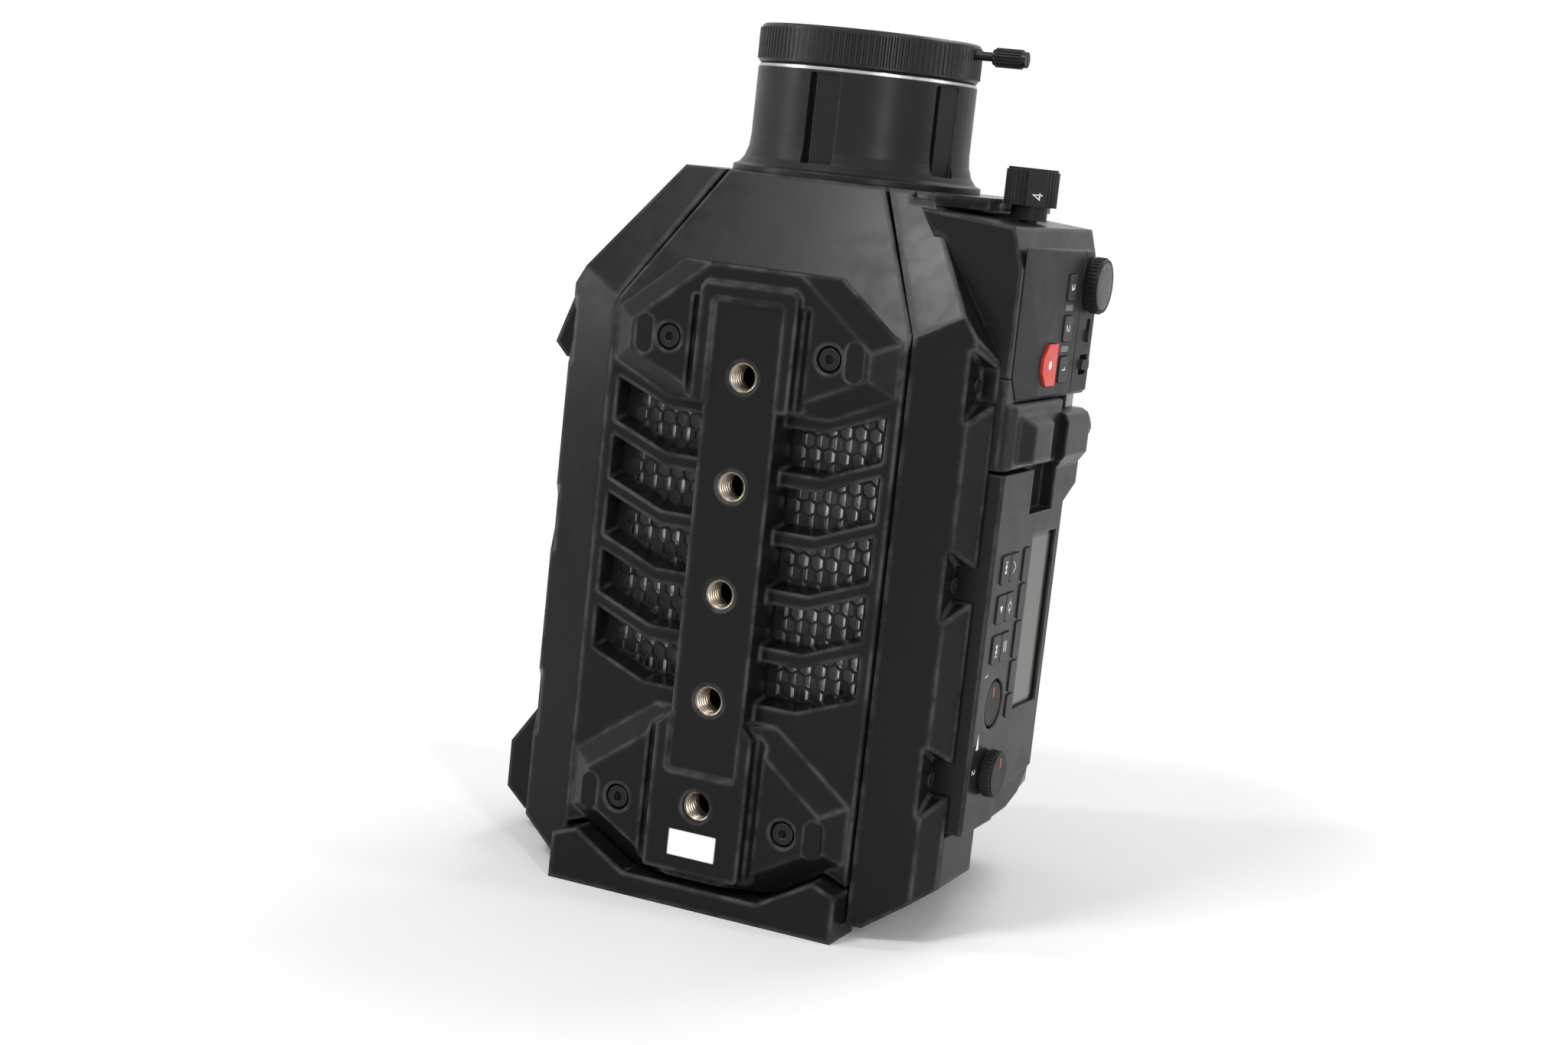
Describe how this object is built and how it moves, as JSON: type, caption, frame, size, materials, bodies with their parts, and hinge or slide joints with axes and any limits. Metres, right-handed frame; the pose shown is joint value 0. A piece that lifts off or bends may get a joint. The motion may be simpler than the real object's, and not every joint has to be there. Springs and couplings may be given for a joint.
{
  "type": "broadcast camera",
  "caption": "Modular broadcast camera body with a bayonet lens mount, louvred underside with a rail of accessory threads, and a fold-out control door.",
  "frame": {"origin": "the point of the lens axis in the rear plane that the camera stands on in the picture", "axes": "+Z along the lens axis towards the lens, -Y out of the underside, +X out of the operator's side"},
  "size_m": [0.1785, 0.1489, 0.2875],
  "materials": {
    "tray_finish": "satin black",
    "shell_finish": "satin black",
    "mesh_finish": "satin black",
    "insert_steel": "bright",
    "screw_black": "black oxide",
    "plug_rubber": "matt",
    "ring_black": "black anodised",
    "seat_bright": "polished",
    "glass_clear": "coated",
    "sensor_face": "gloss",
    "wheel_black": "matt",
    "sink_metal": "plain",
    "board_green": "gloss",
    "contact_gold": "gold plated",
    "latch_grey": "matt",
    "socket_metal": "nickel",
    "housing_finish": "satin black",
    "panel_finish": "satin black",
    "record_red": "gloss",
    "key_grey": "satin",
    "lamp_grey": "gloss",
    "knob_black": "satin",
    "switch_grey": "satin",
    "door_finish": "satin black",
    "display_face": "gloss",
    "screen_glass": "gloss",
    "pin_steel": "bright"
  },
  "bodies": {
    "body": {"chassis": "tray_finish", "bottom_tray": "tray_finish", "vent_mesh": "mesh_finish", "thread_inserts": "insert_steel", "tray_screws": "screw_black", "tray_plugs": "plug_rubber", "shell_operator": "shell_finish", "shell_grip": "shell_finish", "shell_screws": "screw_black", "front_cover": "shell_finish", "top_cover": "tray_finish", "rear_frame": "shell_finish", "battery_plate": "housing_finish", "battery_contacts": "contact_gold", "mount_barrel": "ring_black", "mount_seat": "seat_bright", "relay_glass": "glass_clear", "sensor_block": "sensor_face", "heat_sink": "sink_metal", "fan_frame": "wheel_black", "main_board": "board_green", "grip_bracket": "tray_finish", "io_housing": "housing_finish", "io_sockets": "socket_metal", "control_housing": "housing_finish", "control_panel": "panel_finish", "key_lamps": "lamp_grey", "hinge_block": "housing_finish", "hinge_pin": "pin_steel", "door_corner": "door_finish"},
    "battery_latch": {"battery_latch": "latch_grey"},
    "lock_ring": {"lock_ring": "ring_black", "lock_lever": "ring_black"},
    "filter_wheel": {"filter_wheel": "wheel_black", "filter_glasses": "glass_clear"},
    "filter_knob": {"filter_knob": "knob_black"},
    "fan_rotor": {"fan_rotor": "wheel_black"},
    "rec_button": {"rec_button": "record_red"},
    "function_key_1": {"function_key_1": "key_grey"},
    "function_key_2": {"function_key_2": "key_grey"},
    "function_key_3": {"function_key_3": "key_grey"},
    "level_knob": {"level_knob": "knob_black"},
    "slide_switch": {"slide_switch": "switch_grey"},
    "toggle_switch": {"toggle_switch": "switch_grey"},
    "door": {"door_shell": "door_finish", "status_display": "display_face", "monitor_screen": "screen_glass"},
    "audio_dial_1": {"audio_dial_1": "knob_black"},
    "audio_dial_2": {"audio_dial_2": "knob_black"},
    "soft_key_1": {"soft_key_1": "key_grey"},
    "soft_key_2": {"soft_key_2": "key_grey"},
    "soft_key_3": {"soft_key_3": "key_grey"},
    "soft_key_4": {"soft_key_4": "key_grey"},
    "soft_key_5": {"soft_key_5": "key_grey"},
    "transport_key_1": {"transport_key_1": "key_grey"},
    "transport_key_2": {"transport_key_2": "key_grey"},
    "transport_key_3": {"transport_key_3": "key_grey"},
    "transport_key_4": {"transport_key_4": "key_grey"},
    "transport_key_5": {"transport_key_5": "key_grey"},
    "transport_key_6": {"transport_key_6": "key_grey"}
  },
  "joints": [
    {"name": "lock_ring_turn", "type": "hinge", "parent": "body", "child": "lock_ring", "pos_m": [0, 0, 0.2837], "axis": [0, 0, 1], "range_deg": [-2, 42]},
    {"name": "filter_knob_turn", "type": "hinge", "parent": "body", "child": "filter_knob", "pos_m": [0.0651, -0.008, 0.24], "axis": [0, 0, 1], "range_deg": [0, 270]},
    {"name": "filter_wheel_turn", "type": "hinge", "parent": "body", "child": "filter_wheel", "pos_m": [0.022, 0.0096, 0.2075], "axis": [0, 0, 1], "range_deg": [-270, 0]},
    {"name": "fan_spin", "type": "hinge", "parent": "body", "child": "fan_rotor", "pos_m": [0, -0.0446, 0.112], "axis": [0, 1, 0], "continuous": true},
    {"name": "battery_latch_press", "type": "slide", "parent": "body", "child": "battery_latch", "axis": [1, 0, 0], "range_m": [0, 0.0025], "stiffness_N_per_m": 600},
    {"name": "rec_button_press", "type": "slide", "parent": "body", "child": "rec_button", "axis": [-1, 0, 0], "range_m": [0, 0.0009], "stiffness_N_per_m": 800},
    {"name": "function_key_1_press", "type": "slide", "parent": "body", "child": "function_key_1", "axis": [-1, 0, 0], "range_m": [0, 0.0006], "stiffness_N_per_m": 600},
    {"name": "function_key_2_press", "type": "slide", "parent": "body", "child": "function_key_2", "axis": [-1, 0, 0], "range_m": [0, 0.0006], "stiffness_N_per_m": 600},
    {"name": "function_key_3_press", "type": "slide", "parent": "body", "child": "function_key_3", "axis": [-1, 0, 0], "range_m": [0, 0.0006], "stiffness_N_per_m": 600},
    {"name": "level_knob_turn", "type": "hinge", "parent": "body", "child": "level_knob", "pos_m": [0.0813, 0.017, 0.2132], "axis": [1, 0, 0], "range_deg": [-140, 140]},
    {"name": "slide_switch_move", "type": "slide", "parent": "body", "child": "slide_switch", "axis": [0, 0, 1], "range_m": [0, 0.0034]},
    {"name": "toggle_switch_move", "type": "slide", "parent": "body", "child": "toggle_switch", "axis": [0, 0, 1], "range_m": [-0.0015, 0.0015]},
    {"name": "door_swing", "type": "hinge", "parent": "body", "child": "door", "pos_m": [0.0785, 0, 0.1648], "axis": [0, -1, 0], "range_deg": [0, 95]},
    {"name": "soft_key_1_press", "type": "slide", "parent": "door", "child": "soft_key_1", "axis": [-1, 0, 0], "range_m": [0, 0.0006], "stiffness_N_per_m": 600},
    {"name": "soft_key_2_press", "type": "slide", "parent": "door", "child": "soft_key_2", "axis": [-1, 0, 0], "range_m": [0, 0.0006], "stiffness_N_per_m": 600},
    {"name": "soft_key_3_press", "type": "slide", "parent": "door", "child": "soft_key_3", "axis": [-1, 0, 0], "range_m": [0, 0.0006], "stiffness_N_per_m": 600},
    {"name": "soft_key_4_press", "type": "slide", "parent": "door", "child": "soft_key_4", "axis": [-1, 0, 0], "range_m": [0, 0.0006], "stiffness_N_per_m": 600},
    {"name": "soft_key_5_press", "type": "slide", "parent": "door", "child": "soft_key_5", "axis": [-1, 0, 0], "range_m": [0, 0.0006], "stiffness_N_per_m": 600},
    {"name": "transport_key_1_press", "type": "slide", "parent": "door", "child": "transport_key_1", "axis": [-1, 0, 0], "range_m": [0, 0.0006], "stiffness_N_per_m": 600},
    {"name": "transport_key_2_press", "type": "slide", "parent": "door", "child": "transport_key_2", "axis": [-1, 0, 0], "range_m": [0, 0.0006], "stiffness_N_per_m": 600},
    {"name": "transport_key_3_press", "type": "slide", "parent": "door", "child": "transport_key_3", "axis": [-1, 0, 0], "range_m": [0, 0.0006], "stiffness_N_per_m": 600},
    {"name": "transport_key_4_press", "type": "slide", "parent": "door", "child": "transport_key_4", "axis": [-1, 0, 0], "range_m": [0, 0.0006], "stiffness_N_per_m": 600},
    {"name": "transport_key_5_press", "type": "slide", "parent": "door", "child": "transport_key_5", "axis": [-1, 0, 0], "range_m": [0, 0.0006], "stiffness_N_per_m": 600},
    {"name": "transport_key_6_press", "type": "slide", "parent": "door", "child": "transport_key_6", "axis": [-1, 0, 0], "range_m": [0, 0.0006], "stiffness_N_per_m": 600},
    {"name": "audio_dial_1_turn", "type": "hinge", "parent": "door", "child": "audio_dial_1", "pos_m": [0.0813, -0.0316, 0.0774], "axis": [1, 0, 0], "range_deg": [-140, 140]},
    {"name": "audio_dial_2_turn", "type": "hinge", "parent": "door", "child": "audio_dial_2", "pos_m": [0.0813, -0.0316, 0.0546], "axis": [1, 0, 0], "range_deg": [-140, 140]}
  ],
  "couplings": [
    {"joint": "filter_wheel_turn", "follows": "filter_knob_turn", "ratio": -1}
  ]
}
